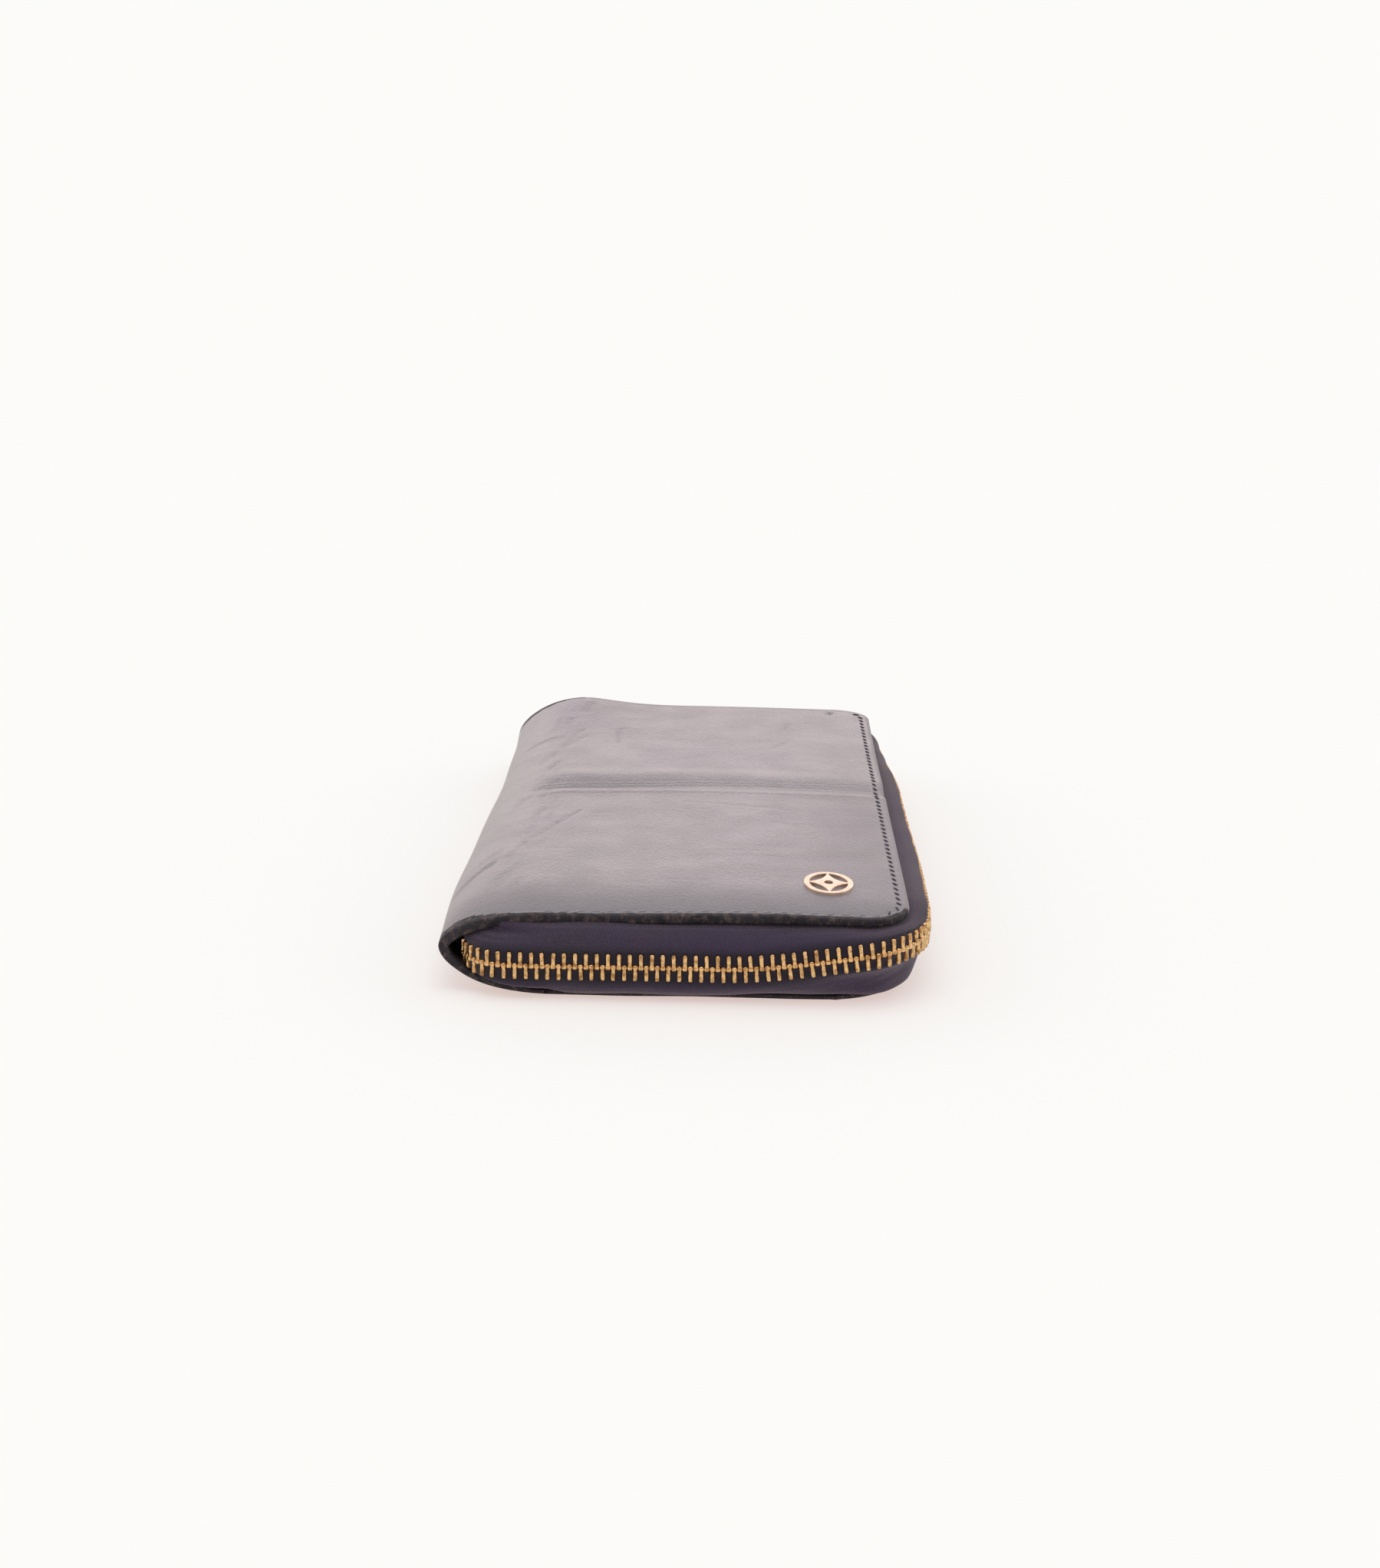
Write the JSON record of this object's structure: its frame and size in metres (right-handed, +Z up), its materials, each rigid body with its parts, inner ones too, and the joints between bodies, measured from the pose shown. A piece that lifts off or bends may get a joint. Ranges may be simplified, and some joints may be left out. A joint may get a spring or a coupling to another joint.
{
  "type": "zip around wallet",
  "caption": "Long leather zip-around wallet lying closed: two padded covers on a rounded spine, a metal zip round three sides, card pockets, a gusseted coin pocket and a metal emblem.",
  "frame": {"origin": "centre of the back cover's flat resting face", "axes": "+Z up out of the front cover, +X from the spine towards the long run of the zip, +Y along the wallet's length towards the end where the zip slider is parked"},
  "size_m": [0.1049, 0.1988, 0.0194],
  "materials": {
    "outer_leather": "smooth navy coated leather with fine crosswise grain, satin",
    "inner_leather": "smooth navy pocket leather, satin",
    "lining": "dark woven lining, matte",
    "leatherboard": "raw pressed leatherboard stiffener, matte",
    "zip_tape": "dark aubergine herringbone tape, matte",
    "gold_metal": "polished warm brass",
    "pale_gold_metal": "polished pale gold plate"
  },
  "bodies": {
    "back": {"back_cover": "outer_leather", "back_board": "leatherboard", "back_lining": "lining", "back_slip_pocket": "inner_leather", "back_card_strip_1": "inner_leather", "back_card_strip_2": "inner_leather", "back_card_strip_3": "inner_leather", "spine_leather": "outer_leather", "spine_lining": "lining", "lower_zip_tape": "zip_tape", "lower_zip_teeth": "gold_metal", "lower_far_teeth": "gold_metal", "zip_bottom_stop": "gold_metal", "lower_top_stop": "gold_metal", "near_lower_gusset": "inner_leather", "far_lower_gusset": "inner_leather"},
    "front": {"front_cover": "outer_leather", "front_board": "leatherboard", "front_lining": "lining", "front_slip_pocket": "inner_leather", "front_card_strip_1": "inner_leather", "front_card_strip_2": "inner_leather", "front_card_strip_3": "inner_leather", "upper_zip_tape": "zip_tape", "upper_zip_teeth": "gold_metal", "upper_far_teeth": "gold_metal", "upper_top_stop": "gold_metal", "emblem": "pale_gold_metal", "emblem_washer": "gold_metal"},
    "coin_pocket": {"coin_pocket_lower_wall": "inner_leather", "coin_pocket_upper_wall": "inner_leather", "coin_pocket_band": "inner_leather", "coin_lower_tape": "zip_tape", "coin_upper_tape": "zip_tape", "coin_lower_teeth": "gold_metal", "coin_upper_teeth": "gold_metal", "coin_bottom_stop": "gold_metal", "near_upper_gusset": "inner_leather", "far_upper_gusset": "inner_leather"},
    "main_slider": {"zip_slider": "gold_metal", "zip_slider_bridge": "gold_metal"},
    "main_pull": {"zip_pull": "gold_metal"},
    "coin_zip_slider": {"coin_slider": "gold_metal", "coin_slider_bridge": "gold_metal"},
    "coin_zip_pull": {"coin_pull": "gold_metal"}
  },
  "joints": [
    {"name": "cover_open", "type": "hinge", "parent": "back", "child": "front", "pos_m": [-0.0518, 0, 0.0093], "axis": [0, -1, 0], "range_deg": [0, 70], "deforming": ["spine_leather", "spine_lining", "near_lower_gusset", "far_lower_gusset", "near_upper_gusset", "far_upper_gusset", "upper_far_teeth"]},
    {"name": "coin_pocket_lift", "type": "hinge", "parent": "back", "child": "coin_pocket", "pos_m": [-0.0518, 0, 0.0093], "axis": [0, -1, 0], "range_deg": [0, 35], "deforming": ["spine_leather", "spine_lining", "near_lower_gusset", "far_lower_gusset", "near_upper_gusset", "far_upper_gusset"]},
    {"name": "main_zip_slide", "type": "slide", "parent": "back", "child": "main_slider", "axis": [1, 0, 0], "range_m": [0, 0.06], "deforming": ["lower_far_teeth", "upper_far_teeth"]},
    {"name": "main_pull_swing", "type": "hinge", "parent": "main_slider", "child": "main_pull", "pos_m": [-0.031, 0.09955, 0.0085], "axis": [0, 0, 1], "range_deg": [0, 180]},
    {"name": "coin_zip_slide", "type": "slide", "parent": "coin_pocket", "child": "coin_zip_slider", "axis": [0, -1, 0], "range_m": [0, 0.142], "deforming": ["coin_lower_teeth", "coin_upper_teeth"]},
    {"name": "coin_pull_swing", "type": "hinge", "parent": "coin_zip_slider", "child": "coin_zip_pull", "pos_m": [0.0315, 0.073, 0.0093], "axis": [0, 0, 1], "range_deg": [0, 180]}
  ],
  "couplings": [
    {"joint": "coin_pocket_lift", "follows": "cover_open", "ratio": 0.5}
  ]
}
